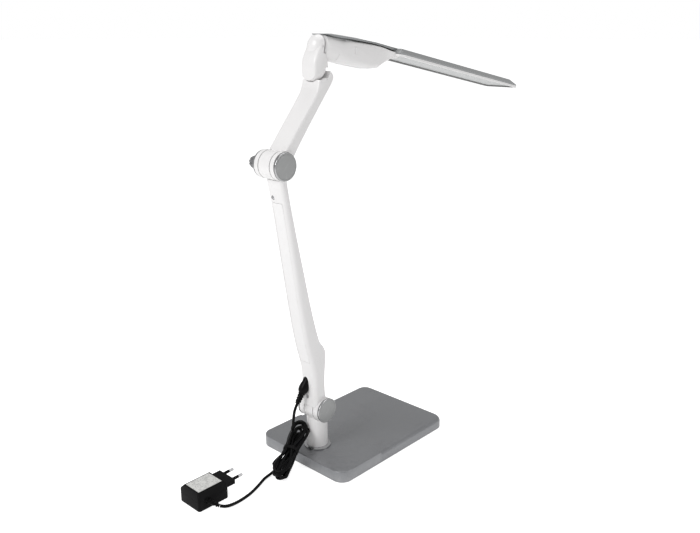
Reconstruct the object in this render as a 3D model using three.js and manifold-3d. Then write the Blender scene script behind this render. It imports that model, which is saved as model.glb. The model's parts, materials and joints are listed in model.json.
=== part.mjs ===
// Articulated LED desk lamp: flat weighted base, swivelling post, two-part arm, tilting and rolling
// head, and a low-voltage lead with a plug-in mains adapter.
// Millimetres. +X is the way the head reaches, +Y is the lamp's left, +Z is up, and the origin is the
// middle of the base's underside.
import * as THREE from 'three';
import { mergeVertices } from 'three/addons/utils/BufferGeometryUtils.js';
import Module from 'manifold-3d';

const wasm = await Module();
wasm.setup();

// ---------------------------------------------------------------- driving dimensions
const GAP = 0.3; // between pieces that touch
const BASE = { length: 220, width: 160, height: 16.3, corner: 16, wall: 2.4, foot: 0.9, edge: 1.2 };
const RIM = { startX: -33, radius: 7, notch: 3 }; // the softer rim round the front of the base
const PAD = { inset: 3.2, height: 2.4 };
const BALLAST = { length: 190, width: 132, height: 8 };
const POST = { x: -76, radius: 14.3, foot: 16.9, top: 62, collarRadius: 18.6, collarHeight: 2.6 };
const HINGE = { x: POST.x, z: 74, radius: 16.7, tongue: 7.6, cheek: 8.8, halfWidth: 17 };
const ELBOW = { x: -140.3, z: 412, radius: 17.4, tongue: 9.4, cheek: 10.7, halfWidth: 17 };
const TILT = { x: -76, z: 521.5, radius: 16, eye: 6, tongue: 3.6, cheek: 4.8, halfWidth: 13, pin: 2.6 };
const CAP = { radius: 16.9, height: 2.8, stand: 0.3 };
const BOLT = { radius: 3, clearance: 3.35, elbowEnd: 34 };
const KNOB = { neck: 5.6, wide: 9.2, narrow: 6.8, length: 19, flutes: 10 };
const LOWER_ARM = { halfWidth: 14.5, round: 5.4 };
const UPPER_ARM = { halfWidth: 15.5, round: 2.4 };
const COVER = { halfWidth: 8.6, thickness: 2.2 };
const UPPER_COVER = [446, 488]; // heights between which the front cover sits
const ROLL = { x: -37, z: 541, pitch: 10.6, radius: 15.3, rear: -30, spindle: 4 };
const HEAD = { rear: 92, tip: 387, halfWidth: 30, corner: 9, bevel: 10.5, rim: 8.6, seam: 11.4, top: 19.8 };
const HOUSING = { halfWidth: 15.3, top: 12.6 };
const BUTTON = { x: 21, z: 3.5, halfLength: 4, radius: 1.5, stands: 0.9 };
const PLUG = { from: [-86, 4, 121], to: [-105, 8, 86], radius: 4.8, recess: 6, length: 20 };
const LEAD = { diameter: 4, sides: 8, step: 8 };
const TIE = { width: 5, proud: 0.9 };
const HANK = { low: [-150, -10, 14.5], high: [-103, 8, 41.5], radius: 12, thickness: 14 };
const ADAPTER = { x: [-271.5, -226], y: [7.8, 47.2], height: 27, wall: 2.2 };
// Chamfers of the adapter's top, as [inwards, downwards].
const SLOPE = { front: [6.5, 7.5], far: [10, 9.5] };
const NOSE = { length: 13, y: [10.5, 41.5], z: [12.8, 19] };
const PINS = { middle: 26, gap: 18.4, height: 15.9, radius: 2, length: 17 };
const GLAND = { from: [-258, 6.7, 11], to: [-250, -4.5, 5.4] };

const COLOURS = {
  greyPaint: { color: 0x86878a, roughness: 0.42, metalness: 0.35 },
  silver: { color: 0x8f9192, roughness: 0.34, metalness: 0.6 },
  white: { color: 0xe6e4e4, roughness: 0.3, metalness: 0 },
  diffuser: { color: 0xdedfe0, roughness: 0.5, metalness: 0 },
  darkGrey: { color: 0x3a3a3c, roughness: 0.5, metalness: 0 },
  black: { color: 0x0d0d0e, roughness: 0.5, metalness: 0 },
  rubber: { color: 0x1a1a1a, roughness: 0.9, metalness: 0 },
  steel: { color: 0xb0b2b5, roughness: 0.35, metalness: 1 },
  board: { color: 0xe9ece4, roughness: 0.7, metalness: 0 },
  label: { color: 0xf0f0ee, roughness: 0.7, metalness: 0 },
};

// ---------------------------------------------------------------- solid helpers
function toSolid(geometry) {
  const bare = geometry.clone();
  bare.deleteAttribute('normal');
  bare.deleteAttribute('uv');
  const merged = mergeVertices(bare, 1e-4);
  const corners = merged.index.array;
  const triangles = [];
  for (let i = 0; i < corners.length; i += 3) {
    const [a, b, c] = corners.subarray(i, i + 3);
    if (a !== b && b !== c && c !== a) triangles.push(a, b, c);
  }
  return new wasm.Manifold(
    new wasm.Mesh({
      numProp: 3,
      vertProperties: new Float32Array(merged.attributes.position.array),
      triVerts: new Uint32Array(triangles),
    })
  );
}

function toGeometry(solid) {
  const { vertProperties, triVerts } = solid.getMesh();
  const geometry = new THREE.BufferGeometry();
  geometry.setAttribute('position', new THREE.BufferAttribute(new Float32Array(vertProperties), 3));
  geometry.setIndex(new THREE.BufferAttribute(new Uint32Array(triVerts), 1));
  geometry.computeVertexNormals();
  return geometry;
}

const join = (first, ...others) => others.reduce((sum, next) => sum.add(next), first);
const cut = (first, ...others) => others.reduce((rest, next) => rest.subtract(next), first);

function block(x, y, z) {
  const geometry = new THREE.BoxGeometry(x[1] - x[0], y[1] - y[0], z[1] - z[0]);
  geometry.translate((x[0] + x[1]) / 2, (y[0] + y[1]) / 2, (z[0] + z[1]) / 2);
  return toSolid(geometry);
}

// A round bar from one point to another, with its own radius at each end.
function bar(from, to, radiusFrom, radiusTo = radiusFrom, sides = 32) {
  const start = new THREE.Vector3(...from);
  const end = new THREE.Vector3(...to);
  const geometry = new THREE.CylinderGeometry(radiusTo, radiusFrom, start.distanceTo(end), sides);
  const along = end.clone().sub(start).normalize();
  geometry.applyQuaternion(new THREE.Quaternion().setFromUnitVectors(new THREE.Vector3(0, 1, 0), along));
  geometry.translate(...start.clone().add(end).multiplyScalar(0.5).toArray());
  return toSolid(geometry);
}

// A round bar along Y about the axis of a hinge.
const crossBar = (hinge, radius, fromY, toY, sides = 36) =>
  bar([hinge.x, fromY, hinge.z], [hinge.x, toY, hinge.z], radius, radius, sides);

// A turned piece: a profile of [radius, distance] points, closed on itself or on the axis, spun about
// the line that leaves `origin` along `way`. Distances grow along the line, and the profile runs
// from the near end round the outside to the far end.
function spun(profile, origin, way, sides = 32) {
  const geometry = new THREE.LatheGeometry(profile.map(([r, h]) => new THREE.Vector2(r, h)), sides);
  const along = new THREE.Vector3(...way).normalize();
  geometry.applyQuaternion(new THREE.Quaternion().setFromUnitVectors(new THREE.Vector3(0, 1, 0), along));
  geometry.translate(...origin);
  return toSolid(geometry);
}

function roundedRectangle(length, width, corner) {
  const [x, y] = [length / 2, width / 2];
  const shape = new THREE.Shape();
  shape.moveTo(-x + corner, -y);
  shape.lineTo(x - corner, -y);
  shape.absarc(x - corner, -y + corner, corner, -Math.PI / 2, 0, false);
  shape.absarc(x - corner, y - corner, corner, 0, Math.PI / 2, false);
  shape.absarc(-x + corner, y - corner, corner, Math.PI / 2, Math.PI, false);
  shape.absarc(-x + corner, -y + corner, corner, Math.PI, 1.5 * Math.PI, false);
  return shape;
}

// A flat plate between two heights, its upper and lower edges rounded off by `edge`.
function plate(shape, bottom, top, edge = 0, segments = 3, curve = 5) {
  const geometry = new THREE.ExtrudeGeometry(shape, {
    depth: top - bottom - 2 * edge,
    curveSegments: curve,
    bevelEnabled: edge > 0,
    bevelThickness: edge,
    bevelSize: edge,
    bevelOffset: -edge,
    bevelSegments: segments,
  });
  geometry.translate(0, 0, bottom + edge);
  return toSolid(geometry);
}

// A piece with a side outline in XZ, as wide as `halfWidth` each way along Y.
function sideways(shape, halfWidth, curve = 4) {
  const geometry = new THREE.ExtrudeGeometry(shape, {
    depth: 2 * halfWidth, curveSegments: curve, bevelEnabled: false,
  });
  geometry.rotateX(Math.PI / 2);
  geometry.translate(0, halfWidth, 0);
  return toSolid(geometry);
}

// A closed skin over rings of points, each ring the same way round, with a flat end at each end.
function loft(rings) {
  const count = rings[0].length;
  const total = (ring) => ring.reduce((sum, point) => sum.add(point), new THREE.Vector3());
  const middle = (ring) => total(ring).divideScalar(count);
  const points = [...rings.flat(), middle(rings[0]), middle(rings.at(-1))];
  const faces = [];
  for (let ring = 0; ring < rings.length - 1; ring++) {
    for (let i = 0; i < count; i++) {
      const [a, b] = [ring * count + i, ring * count + ((i + 1) % count)];
      faces.push(a, b, b + count, a, b + count, a + count);
    }
  }
  const last = (rings.length - 1) * count;
  for (let i = 0; i < count; i++) {
    const next = (i + 1) % count;
    faces.push(next, i, points.length - 2, last + i, last + next, points.length - 1);
  }
  const geometry = new THREE.BufferGeometry().setFromPoints(points);
  geometry.setIndex(faces);
  return toSolid(geometry);
}

// A rounded rectangle of points about `middle`, `across` and `depth` being half sizes along two ways.
function section(middle, acrossWay, across, depthWay, depth, round, segments = 4) {
  const ring = [];
  for (const [corner, sx, sy] of [[0, 1, 1], [1, -1, 1], [2, -1, -1], [3, 1, -1]]) {
    for (let i = 0; i <= segments; i++) {
      const angle = ((corner + i / segments) * Math.PI) / 2;
      const u = sx * (across - round) + round * Math.cos(angle);
      const v = sy * (depth - round) + round * Math.sin(angle);
      ring.push(middle.clone().addScaledVector(acrossWay, u).addScaledVector(depthWay, v));
    }
  }
  return ring;
}

// A limb seen from the side as rear and front points in XZ, in pairs from the foot up.
function limb(rear, front, halfWidth, round, steps) {
  const [rearLine, frontLine] = [rear, front].map(
    (line) => new THREE.SplineCurve(line.map(([x, z]) => new THREE.Vector2(x, z)))
  );
  const sideWay = new THREE.Vector3(0, 1, 0);
  const rings = [];
  for (let i = 0; i <= steps; i++) {
    const [r, f] = [rearLine.getPoint(i / steps), frontLine.getPoint(i / steps)];
    const [low, high] = [new THREE.Vector3(r.x, 0, r.y), new THREE.Vector3(f.x, 0, f.y)];
    const depthWay = high.clone().sub(low).normalize();
    const middle = low.clone().add(high).multiplyScalar(0.5);
    rings.push(section(middle, sideWay, halfWidth, depthWay, low.distanceTo(high) / 2, round).reverse());
  }
  return loft(rings);
}

// An outline in XZ between a rear line and a front line, each given from the foot up.
function outline(rear, front) {
  return polygon([...front, ...[...rear].reverse()]);
}

const polygon = (points) => new THREE.Shape(points.map(([x, z]) => new THREE.Vector2(x, z)));
const shifted = (points, dx, dz = 0) => points.map(([x, z]) => [x + dx, z + dz]);

const lamp = new THREE.Group();
lamp.name = 'desk_lamp';

function add(group, name, solid, finish) {
  const mesh = new THREE.Mesh(toGeometry(solid), new THREE.MeshStandardMaterial(COLOURS[finish]));
  mesh.name = name;
  group.add(mesh);
}

// ---------------------------------------------------------------- base
function baseShell() {
  const outer = roundedRectangle(BASE.length, BASE.width, BASE.corner);
  const far = BASE.length;
  const rear = plate(outer, -10, BASE.height, BASE.edge, 3).intersect(
    block([-far, RIM.startX], [-far, far], [BASE.foot, far])
  );
  const front = plate(outer, -10, BASE.height, RIM.radius, 5).intersect(
    block([RIM.startX, far], [-far, far], [BASE.foot, far])
  );
  const inside = roundedRectangle(
    BASE.length - 2 * BASE.wall, BASE.width - 2 * BASE.wall, BASE.corner - BASE.wall
  );
  const hollow = plate(inside, -20, BASE.height - BASE.wall, RIM.radius - BASE.wall, 4);
  const notches = [-1, 1].map((side) => {
    const edge = (side * BASE.width) / 2;
    return block([RIM.startX - RIM.notch, RIM.startX], [edge - 1.4, edge + 1.4], [BASE.height - 2.4, far]);
  });
  const spindleHole = bar([POST.x, 0, 0], [POST.x, 0, 30], 6.6);
  return cut(join(rear, front), hollow, ...notches, spindleHole);
}

function ballastPlate() {
  const low = PAD.height + GAP;
  const shape = roundedRectangle(BALLAST.length, BALLAST.width, 10);
  return cut(plate(shape, low, low + BALLAST.height, 0.8, 1), bar([POST.x, 0, 0], [POST.x, 0, 30], 15));
}

function basePad() {
  const shape = roundedRectangle(
    BASE.length - 2 * PAD.inset, BASE.width - 2 * PAD.inset, BASE.corner - PAD.inset
  );
  return plate(shape, 0, PAD.height);
}

function baseCollar() {
  const [low, high] = [BASE.height + GAP, BASE.height + GAP + POST.collarHeight];
  const [inner, outer] = [POST.radius + GAP, POST.collarRadius];
  const profile = [
    [inner, low], [outer, low], [outer, high - 1.2], [outer - 1.4, high], [inner, high], [inner, low],
  ];
  const ring = spun(profile, [POST.x, 0, 0], [0, 0, 1]);
  const marks = [200, 318].map((degrees) => {
    const angle = THREE.MathUtils.degToRad(degrees);
    const [x, y] = [POST.x + outer * Math.cos(angle), outer * Math.sin(angle)];
    return bar([x, y, low - 1], [x, y, high + 1], 1.3, 1.3, 12);
  });
  return cut(ring, ...marks);
}

function addBase() {
  add(lamp, 'base_shell', baseShell(), 'greyPaint');
  add(lamp, 'base_ballast', ballastPlate(), 'steel');
  add(lamp, 'base_pad', basePad(), 'rubber');
  add(lamp, 'post_collar', baseCollar(), 'silver');
}

// ---------------------------------------------------------------- post
function post() {
  const tube = bar([POST.x, 0, POST.foot], [POST.x, 0, POST.top], POST.radius, POST.radius, 40);
  const tongue = crossBar(HINGE, HINGE.radius, -HINGE.tongue, HINGE.tongue);
  const spindle = bar([POST.x, 0, 3.4], [POST.x, 0, POST.foot + 1], 6.2, 6.2, 24);
  const shoulder = [-1, 1].map((side) => {
    const y = side > 0 ? [HINGE.tongue, 30] : [-30, -HINGE.tongue];
    return crossBar(HINGE, HINGE.radius + 0.5, ...y, 40);
  });
  const bore = crossBar(HINGE, BOLT.clearance, -20, 20, 24);
  return join(cut(join(tube, tongue), ...shoulder, bore), spindle);
}

function hingeWasher(hinge, side) {
  const [inner, outer] = [hinge.tongue + GAP, hinge.cheek - GAP];
  const disc = crossBar(hinge, hinge.radius - 3, side * inner, side * outer);
  return cut(disc, crossBar(hinge, BOLT.clearance, side * (inner - 1), side * (outer + 1), 24));
}

function swivelNut() {
  const low = PAD.height + GAP + 0.5;
  const top = BASE.height - BASE.wall - GAP - 1.6;
  const nut = bar([POST.x, 0, low + 2.6], [POST.x, 0, top - GAP], 11, 11, 6);
  return cut(nut, bar([POST.x, 0, low], [POST.x, 0, 30], 6.5, 6.5, 24));
}

function swivelWasher() {
  const top = BASE.height - BASE.wall - GAP;
  const washer = bar([POST.x, 0, top - 1.6], [POST.x, 0, top], 13.5);
  return cut(washer, bar([POST.x, 0, 0], [POST.x, 0, 30], 6.5, 6.5, 24));
}

function addPost() {
  add(lamp, 'post', post(), 'white');
  add(lamp, 'swivel_washer', swivelWasher(), 'rubber');
  add(lamp, 'swivel_nut', swivelNut(), 'steel');
  add(lamp, 'hinge_washer_right', hingeWasher(HINGE, -1), 'darkGrey');
  add(lamp, 'hinge_washer_left', hingeWasher(HINGE, 1), 'darkGrey');
}

// ---------------------------------------------------------------- lower arm
const LOWER_REAR = [
  [-91.6, 70], [-92, 96], [-92, 112], [-93, 130], [-97, 147], [-100.2, 158], [-102.4, 166],
  [-104.4, 174], [-110, 200], [-116.8, 238], [-127, 300], [-134.4, 346], [-141.5, 384], [-148, 412],
];
const LOWER_FRONT = [
  [-68.5, 70], [-71.6, 96], [-72.4, 112], [-71.6, 130], [-70.2, 147], [-70.6, 158], [-74.6, 166],
  [-80.6, 174], [-88.8, 200], [-98.4, 238], [-112.6, 300], [-122.8, 346], [-130.4, 384], [-134, 412],
];

// The pocket behind the cover: a channel from the rear, between two heights.
function channel(rear, front, low, high, wall) {
  const shape = outline(shifted(rear, -12), shifted(front, -wall));
  return sideways(shape, COVER.halfWidth + GAP).intersect(block([-300, 100], [-20, 20], [low, high]));
}

const screwPlaces = [
  { name: 'top', at: [-139.2, 6, 372], out: [-0.98, 0, -0.19] },
  { name: 'bottom', at: [-92, 2, 94], out: [-1, 0, 0] },
];

function lowerArm() {
  const body = limb(LOWER_REAR, LOWER_FRONT, LOWER_ARM.halfWidth, LOWER_ARM.round, 26);
  const elbowBarrel = crossBar(ELBOW, ELBOW.radius, -ELBOW.halfWidth, ELBOW.halfWidth);
  const hingeBarrel = crossBar(HINGE, HINGE.radius, -HINGE.halfWidth, HINGE.halfWidth);
  const elbowSlot = crossBar(ELBOW, ELBOW.radius + 0.5, -ELBOW.cheek, ELBOW.cheek);
  const hingeSlot = crossBar(HINGE, HINGE.radius + 0.5, -HINGE.cheek, HINGE.cheek);
  const openBelow = block([-100, -50], [-HINGE.cheek, HINGE.cheek], [40, HINGE.z]);
  const openAbove = block([-180, -100], [-ELBOW.cheek, ELBOW.cheek], [ELBOW.z, 450]);
  const elbowBore = crossBar(ELBOW, BOLT.clearance, -30, 30, 24);
  const hingeBore = crossBar(HINGE, BOLT.clearance, -30, 30, 24);
  const recess = onPlug(rod(PLUG.recess, -15.4, 60));
  const screws = screwPlaces.map((place) => spun(rod(2.9, -9, 4), place.at, place.out, 16));
  return cut(
    join(body, elbowBarrel, hingeBarrel),
    elbowSlot, hingeSlot, openBelow, openAbove, elbowBore, hingeBore,
    channel(LOWER_REAR, LOWER_FRONT, 146, 366, 3), recess, ...screws
  );
}

function lowerArmCover() {
  const strip = outline(LOWER_REAR, shifted(LOWER_REAR, COVER.thickness + 0.4));
  return sideways(strip, COVER.halfWidth).intersect(block([-300, 100], [-20, 20], [146 + GAP, 366 - GAP]));
}

const plugWay = PLUG.to.map((value, i) => value - PLUG.from[i]);
const plugReach = Math.hypot(...plugWay);
const onPlug = (profile, sides = 28) => spun(profile, PLUG.from, plugWay, sides);
const rod = (radius, from, to) => [[0, from], [radius, from], [radius, to], [0, to]];

function dcSocket() {
  return onPlug([
    [0, -15], [PLUG.recess - GAP, -15], [PLUG.recess - GAP, -GAP], [3.1, -GAP], [3.1, -11], [0, -11],
  ]);
}

function dcPlug() {
  const { radius, length } = PLUG;
  return onPlug([
    [0, -9], [2.6, -9], [2.6, 0.2], [radius - 0.6, 0.2], [radius, 1], [radius, length - 1.6],
    [radius - 1.2, length], [0, length],
  ]);
}

// The profile of a tapering strain relief with grooves round it.
function reliefProfile(from, to, radiusFrom, radiusTo, grooves) {
  const profile = [[0, from], [radiusFrom, from]];
  const step = (to - from) / grooves;
  for (let i = 0; i < grooves; i++) {
    const radius = (distance) => radiusFrom + ((radiusTo - radiusFrom) * (distance - from)) / (to - from);
    const [start, end] = [from + step * (i + 0.45), from + step * (i + 0.8)];
    profile.push([radius(start), start], [radius(start) - 0.7, start]);
    profile.push([radius(end) - 0.7, end], [radius(end), end]);
  }
  return [...profile, [radiusTo, to], [0, to]];
}

function screw(place) {
  const shank = [[0, -7.5], [1.4, -7.5], [1.4, -1.7]];
  const head = [[2.5, -1.7], [2.5, -0.8], [2, -0.5], [1, -0.5], [1, -1.2], [0, -1.2]];
  return spun([...shank, ...head], place.at, place.out, 16);
}

// The silver disc that closes one end of a hinge barrel, a narrow gap behind its edge.
function hingeCap(hinge, side, hole = 0) {
  const { radius, height } = CAP;
  const profile = [
    [hole, 0], [radius - 1.2, 0], [radius - 1.2, 0.7], [radius, 0.7], [radius, height - 0.9],
    [radius - 0.9, height], [hole, height],
  ];
  if (hole > 0) profile.push([hole, 0]);
  return spun(profile, [hinge.x, side * (hinge.halfWidth + CAP.stand), hinge.z], [0, side, 0], 44);
}

function addLowerArm() {
  const end = HINGE.halfWidth - 1;
  add(lamp, 'lower_arm', lowerArm(), 'white');
  add(lamp, 'lower_arm_cover', lowerArmCover(), 'white');
  for (const place of screwPlaces) {
    add(lamp, `cover_screw_${place.name}`, screw(place), 'steel');
  }
  add(lamp, 'hinge_bolt', crossBar(HINGE, BOLT.radius, -end, end, 20), 'steel');
  add(lamp, 'hinge_cap_right', hingeCap(HINGE, -1), 'silver');
  add(lamp, 'hinge_cap_left', hingeCap(HINGE, 1), 'silver');
  add(lamp, 'elbow_bolt', crossBar(ELBOW, BOLT.radius, -end, BOLT.elbowEnd, 20), 'steel');
  add(lamp, 'elbow_cap_right', hingeCap(ELBOW, -1), 'silver');
  add(lamp, 'elbow_ring_left', hingeCap(ELBOW, 1, BOLT.clearance), 'silver');
  add(lamp, 'dc_socket', dcSocket(), 'black');
  add(lamp, 'dc_plug', dcPlug(), 'black');
  const relief = onPlug(reliefProfile(PLUG.length + GAP, plugReach, 3.9, 2.6, 4), 20);
  add(lamp, 'plug_strain_relief', relief, 'black');
}

// ---------------------------------------------------------------- elbow knob
function elbowKnob() {
  const start = ELBOW.halfWidth + CAP.stand + CAP.height + 0.4;
  const { neck, wide, narrow, length, flutes } = KNOB;
  const bore = BOLT.clearance;
  const depth = BOLT.elbowEnd - start + 1;
  const knob = spun(
    [
      [bore, 0], [neck, 0], [neck, 5], [wide, 5.4], [wide, 8], [narrow, length - 1], [narrow - 1, length],
      [0, length], [0, depth], [bore, depth], [bore, 0],
    ],
    [ELBOW.x, start, ELBOW.z], [0, 1, 0], 30
  );
  const cuts = Array.from({ length: flutes }, (_, i) => {
    const angle = (2 * Math.PI * i) / flutes;
    const [x, z] = [ELBOW.x + (wide + 1) * Math.cos(angle), ELBOW.z + (wide + 1) * Math.sin(angle)];
    return bar([x, start + 3, z], [x, start + length + 2, z], 1.7, 1.7, 8);
  });
  return cut(knob, ...cuts);
}

// ---------------------------------------------------------------- upper arm
const UPPER_REAR = [
  [-151, 410.5], [-116.4, 453.2], [-90.8, 483.6], [-82.8, 495], [-80.4, 501], [-78, 510], [-70, 521],
];
const UPPER_FRONT = [
  [-131.5, 408.5], [-108.3, 440.2], [-70.2, 487.9], [-61.4, 498.4], [-55.6, 506.4], [-55, 512.5],
  [-60, 517.6],
];

// The round lower end of the yoke: a drum about the tilt axis, rounded over towards its sides.
function tiltDrum(margin) {
  const [radius, half] = [TILT.radius + margin, TILT.halfWidth + 0.5 + margin];
  const [steps, squareness] = [16, 2 / 2.6];
  const profile = [];
  for (let i = 0; i <= steps; i++) {
    const angle = Math.PI * (i / steps - 0.5);
    const across = Math.sign(angle) * Math.abs(Math.sin(angle)) ** squareness;
    profile.push([radius * Math.max(0, Math.cos(angle)) ** squareness, half * across]);
  }
  profile[0][0] = 0;
  profile[steps][0] = 0;
  return spun(profile, [TILT.x, 0, TILT.z], [0, 1, 0], 40);
}

// A slice of a disc about the tilt axis, between two angles in degrees up from +X.
function sector(fromDegrees, toDegrees, radius, halfWidth) {
  const points = [[TILT.x, TILT.z]];
  const steps = 8;
  for (let i = 0; i <= steps; i++) {
    const angle = THREE.MathUtils.degToRad(fromDegrees + ((toDegrees - fromDegrees) * i) / steps);
    points.push([TILT.x + radius * Math.cos(angle), TILT.z + radius * Math.sin(angle)]);
  }
  return sideways(polygon(points), halfWidth);
}

function upperArm() {
  const body = limb(UPPER_REAR, UPPER_FRONT, UPPER_ARM.halfWidth, UPPER_ARM.round, 14);
  const knuckle = crossBar(ELBOW, ELBOW.radius, -ELBOW.tongue, ELBOW.tongue);
  const cheeks = [-1, 1].map((side) => crossBar(ELBOW, ELBOW.radius + 0.5, side * ELBOW.tongue, side * 40));
  const seat = join(
    tiltDrum(0.7), crossBar(TILT, TILT.radius - 2, -30, 30), sector(-56, 60, TILT.radius + 0.7, 30)
  );
  const tongue = join(
    crossBar(TILT, TILT.eye, -TILT.tongue, TILT.tongue, 32), sector(-90, -32, TILT.radius + 3, TILT.tongue)
  );
  const pocket = sideways(
    outline(shifted(UPPER_REAR, 3.4), shifted(UPPER_FRONT, 14, -8)), COVER.halfWidth + GAP
  );
  return cut(
    join(cut(body, ...cheeks, seat), tongue, knuckle),
    crossBar(ELBOW, BOLT.clearance, -30, 30, 24),
    crossBar(TILT, TILT.pin + GAP, -30, 30, 20),
    pocket.intersect(block([-300, 100], [-20, 20], UPPER_COVER))
  );
}

function upperArmCover() {
  const strip = outline(shifted(UPPER_FRONT, -COVER.thickness - 0.6), UPPER_FRONT);
  const [low, high] = UPPER_COVER;
  return sideways(strip, COVER.halfWidth).intersect(block([-300, 100], [-20, 20], [low + GAP, high - GAP]));
}

function tiltWasher(side) {
  const [inner, outer] = [TILT.tongue + GAP, TILT.cheek - GAP];
  const disc = crossBar(TILT, TILT.eye - 2, side * inner, side * outer, 28);
  return cut(disc, crossBar(TILT, TILT.pin + GAP, side * (inner - 1), side * (outer + 1), 20));
}

function addUpperArm() {
  add(lamp, 'upper_arm', upperArm(), 'white');
  add(lamp, 'upper_arm_cover', upperArmCover(), 'white');
  add(lamp, 'elbow_washer_right', hingeWasher(ELBOW, -1), 'darkGrey');
  add(lamp, 'elbow_washer_left', hingeWasher(ELBOW, 1), 'darkGrey');
  add(lamp, 'tilt_washer_right', tiltWasher(-1), 'darkGrey');
  add(lamp, 'tilt_washer_left', tiltWasher(1), 'darkGrey');
}

// ---------------------------------------------------------------- tilt yoke, in the lamp's own axes
const headAngle = THREE.MathUtils.degToRad(ROLL.pitch);
const headWay = [Math.cos(headAngle), 0, -Math.sin(headAngle)];
const onRoll = (profile, sides = 36) => spun(profile, [ROLL.x, 0, ROLL.z], headWay, sides);

function tiltYoke() {
  const rear = [[-83.5, 503], [-83.5, 518], [-83, 529], [-78.5, 539.5], [-73.5, 548]];
  const front = [[-58, 503], [-58, 514], [-60.2, 522], [-60.8, 528], [-62.6, 534], [-66.5, 546.5]];
  const body = limb(rear, front, TILT.halfWidth, 4, 10);
  const foot = join(tiltDrum(0), block([-100, -40], [-20, 20], [TILT.z, 570]));
  const dome = onRoll([[0, -42], [5, -41.6], [9, -39.6], [12, -36], [13.4, -32], [0, -32]]);
  const barrelRoom = onRoll(rod(ROLL.radius + 0.4, ROLL.rear - 1.7, 80));
  return cut(
    join(body.intersect(foot), dome),
    barrelRoom,
    crossBar(TILT, TILT.eye + 0.4, -TILT.cheek, TILT.cheek, 32),
    sector(-104, 22, 26, TILT.cheek),
    crossBar(TILT, TILT.pin + GAP, -12.4, 12.4, 20),
    onRoll(rod(ROLL.spindle + 0.05, -39, 0), 24)
  );
}

function rollNut() {
  return cut(onRoll(rod(7, -15.6, -10.6), 6), onRoll(rod(ROLL.spindle + 0.35, -20, -5), 20));
}

function rollWasher() {
  const [near, far] = [ROLL.rear - 1.4, ROLL.rear - GAP];
  const hole = ROLL.spindle + 0.35;
  return onRoll([[hole, near], [11, near], [11, far], [hole, far], [hole, near]]);
}

function addYoke() {
  add(lamp, 'tilt_yoke', tiltYoke(), 'white');
  add(lamp, 'tilt_pin', crossBar(TILT, TILT.pin, -12, 12, 20), 'steel');
  add(lamp, 'roll_spindle', onRoll(rod(ROLL.spindle - 0.3, -38.6, -8), 20), 'steel');
  add(lamp, 'roll_washer', rollWasher(), 'darkGrey');
  add(lamp, 'roll_nut', rollNut(), 'steel');
}

// ---------------------------------------------------------------- head, in its own tilted axes
const head = new THREE.Group();
head.position.set(ROLL.x, 0, ROLL.z);
head.rotation.y = headAngle;
lamp.add(head);

// The white body from the roll barrel forward, as [x, half width, low z, high z, corner] stations.
const NECK = [
  [-6, 15.2, -15.1, 12.6, 13.4], [14, 15.3, -14.8, 14.4, 8], [54, 15.3, -13.8, 16.8, 6],
  [68, 15.4, -10.4, 16.9, 5], [78, 16, -2.6, 16, 4], [88, 18, 4.4, 14.4, 3.6], [102, 23.5, 8.2, 12.6, 2],
  [118, 28.4, 8.6, 11.4, 1.2],
];

function ringsAlong(stations) {
  const [sideWay, upWay] = [new THREE.Vector3(0, 1, 0), new THREE.Vector3(0, 0, 1)];
  return stations.map(([x, half, low, high, round]) =>
    section(new THREE.Vector3(x, 0, (low + high) / 2), sideWay, half, upWay, (high - low) / 2, round)
  );
}

function headOutline(inset) {
  const shape = roundedRectangle(
    HEAD.tip - HEAD.rear - 2 * inset, 2 * (HEAD.halfWidth - inset), Math.max(HEAD.corner - inset, 2)
  );
  return shape;
}

const headMiddle = (HEAD.tip + HEAD.rear) / 2;
const headPlate = (inset, low, high) => plate(headOutline(inset), low, high).translate(headMiddle, 0, 0);

function headHousing() {
  const round = [[0, -30], [9, -30], [12.6, -28.9], [14.7, -26.4], [15.3, -23], [15.3, 2], [0, 2]];
  const turned = spun(round, [0, 0, 0], [1, 0, 0], 40);
  const barrel = turned.intersect(block([-40, 10], [-20, 20], [-20, HOUSING.top]));
  const body = join(barrel, loft(ringsAlong(NECK)), headPlate(0, HEAD.rim, HEAD.seam));
  const tub = block([8, 66], [-11, 11], [-10.5, 30]);
  const nutRoom = spun(rod(9, -18, 9), [0, 0, 0], [1, 0, 0], 24);
  const bore = spun(rod(ROLL.spindle + 0.1, -32, -17), [0, 0, 0], [1, 0, 0], 24);
  const lightWell = headPlate(7.5, HEAD.rim + 2.1, HEAD.seam + 6);
  const window = headPlate(4.5, HEAD.rim - 4, HEAD.rim + 2.3);
  const wireWay = block([60, 118], [-5, 5], [8.9, 30]);
  const buttonHole = buttonShape(GAP, [-20, -10]);
  return cut(body, tub, nutRoom, bore, lightWell, window, wireWay, buttonHole);
}

// An upright pill shape through the near side of the housing.
function buttonShape(margin, y) {
  const radius = BUTTON.radius + margin;
  const ends = [-1, 1].map((side) => {
    const z = BUTTON.z + side * (BUTTON.halfLength - BUTTON.radius);
    return bar([BUTTON.x, y[0], z], [BUTTON.x, y[1], z], radius, radius, 16);
  });
  const reach = BUTTON.halfLength - BUTTON.radius;
  const [low, high] = [BUTTON.z - reach, BUTTON.z + reach];
  return join(block([BUTTON.x - radius, BUTTON.x + radius], y, [low, high]), ...ends);
}

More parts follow.
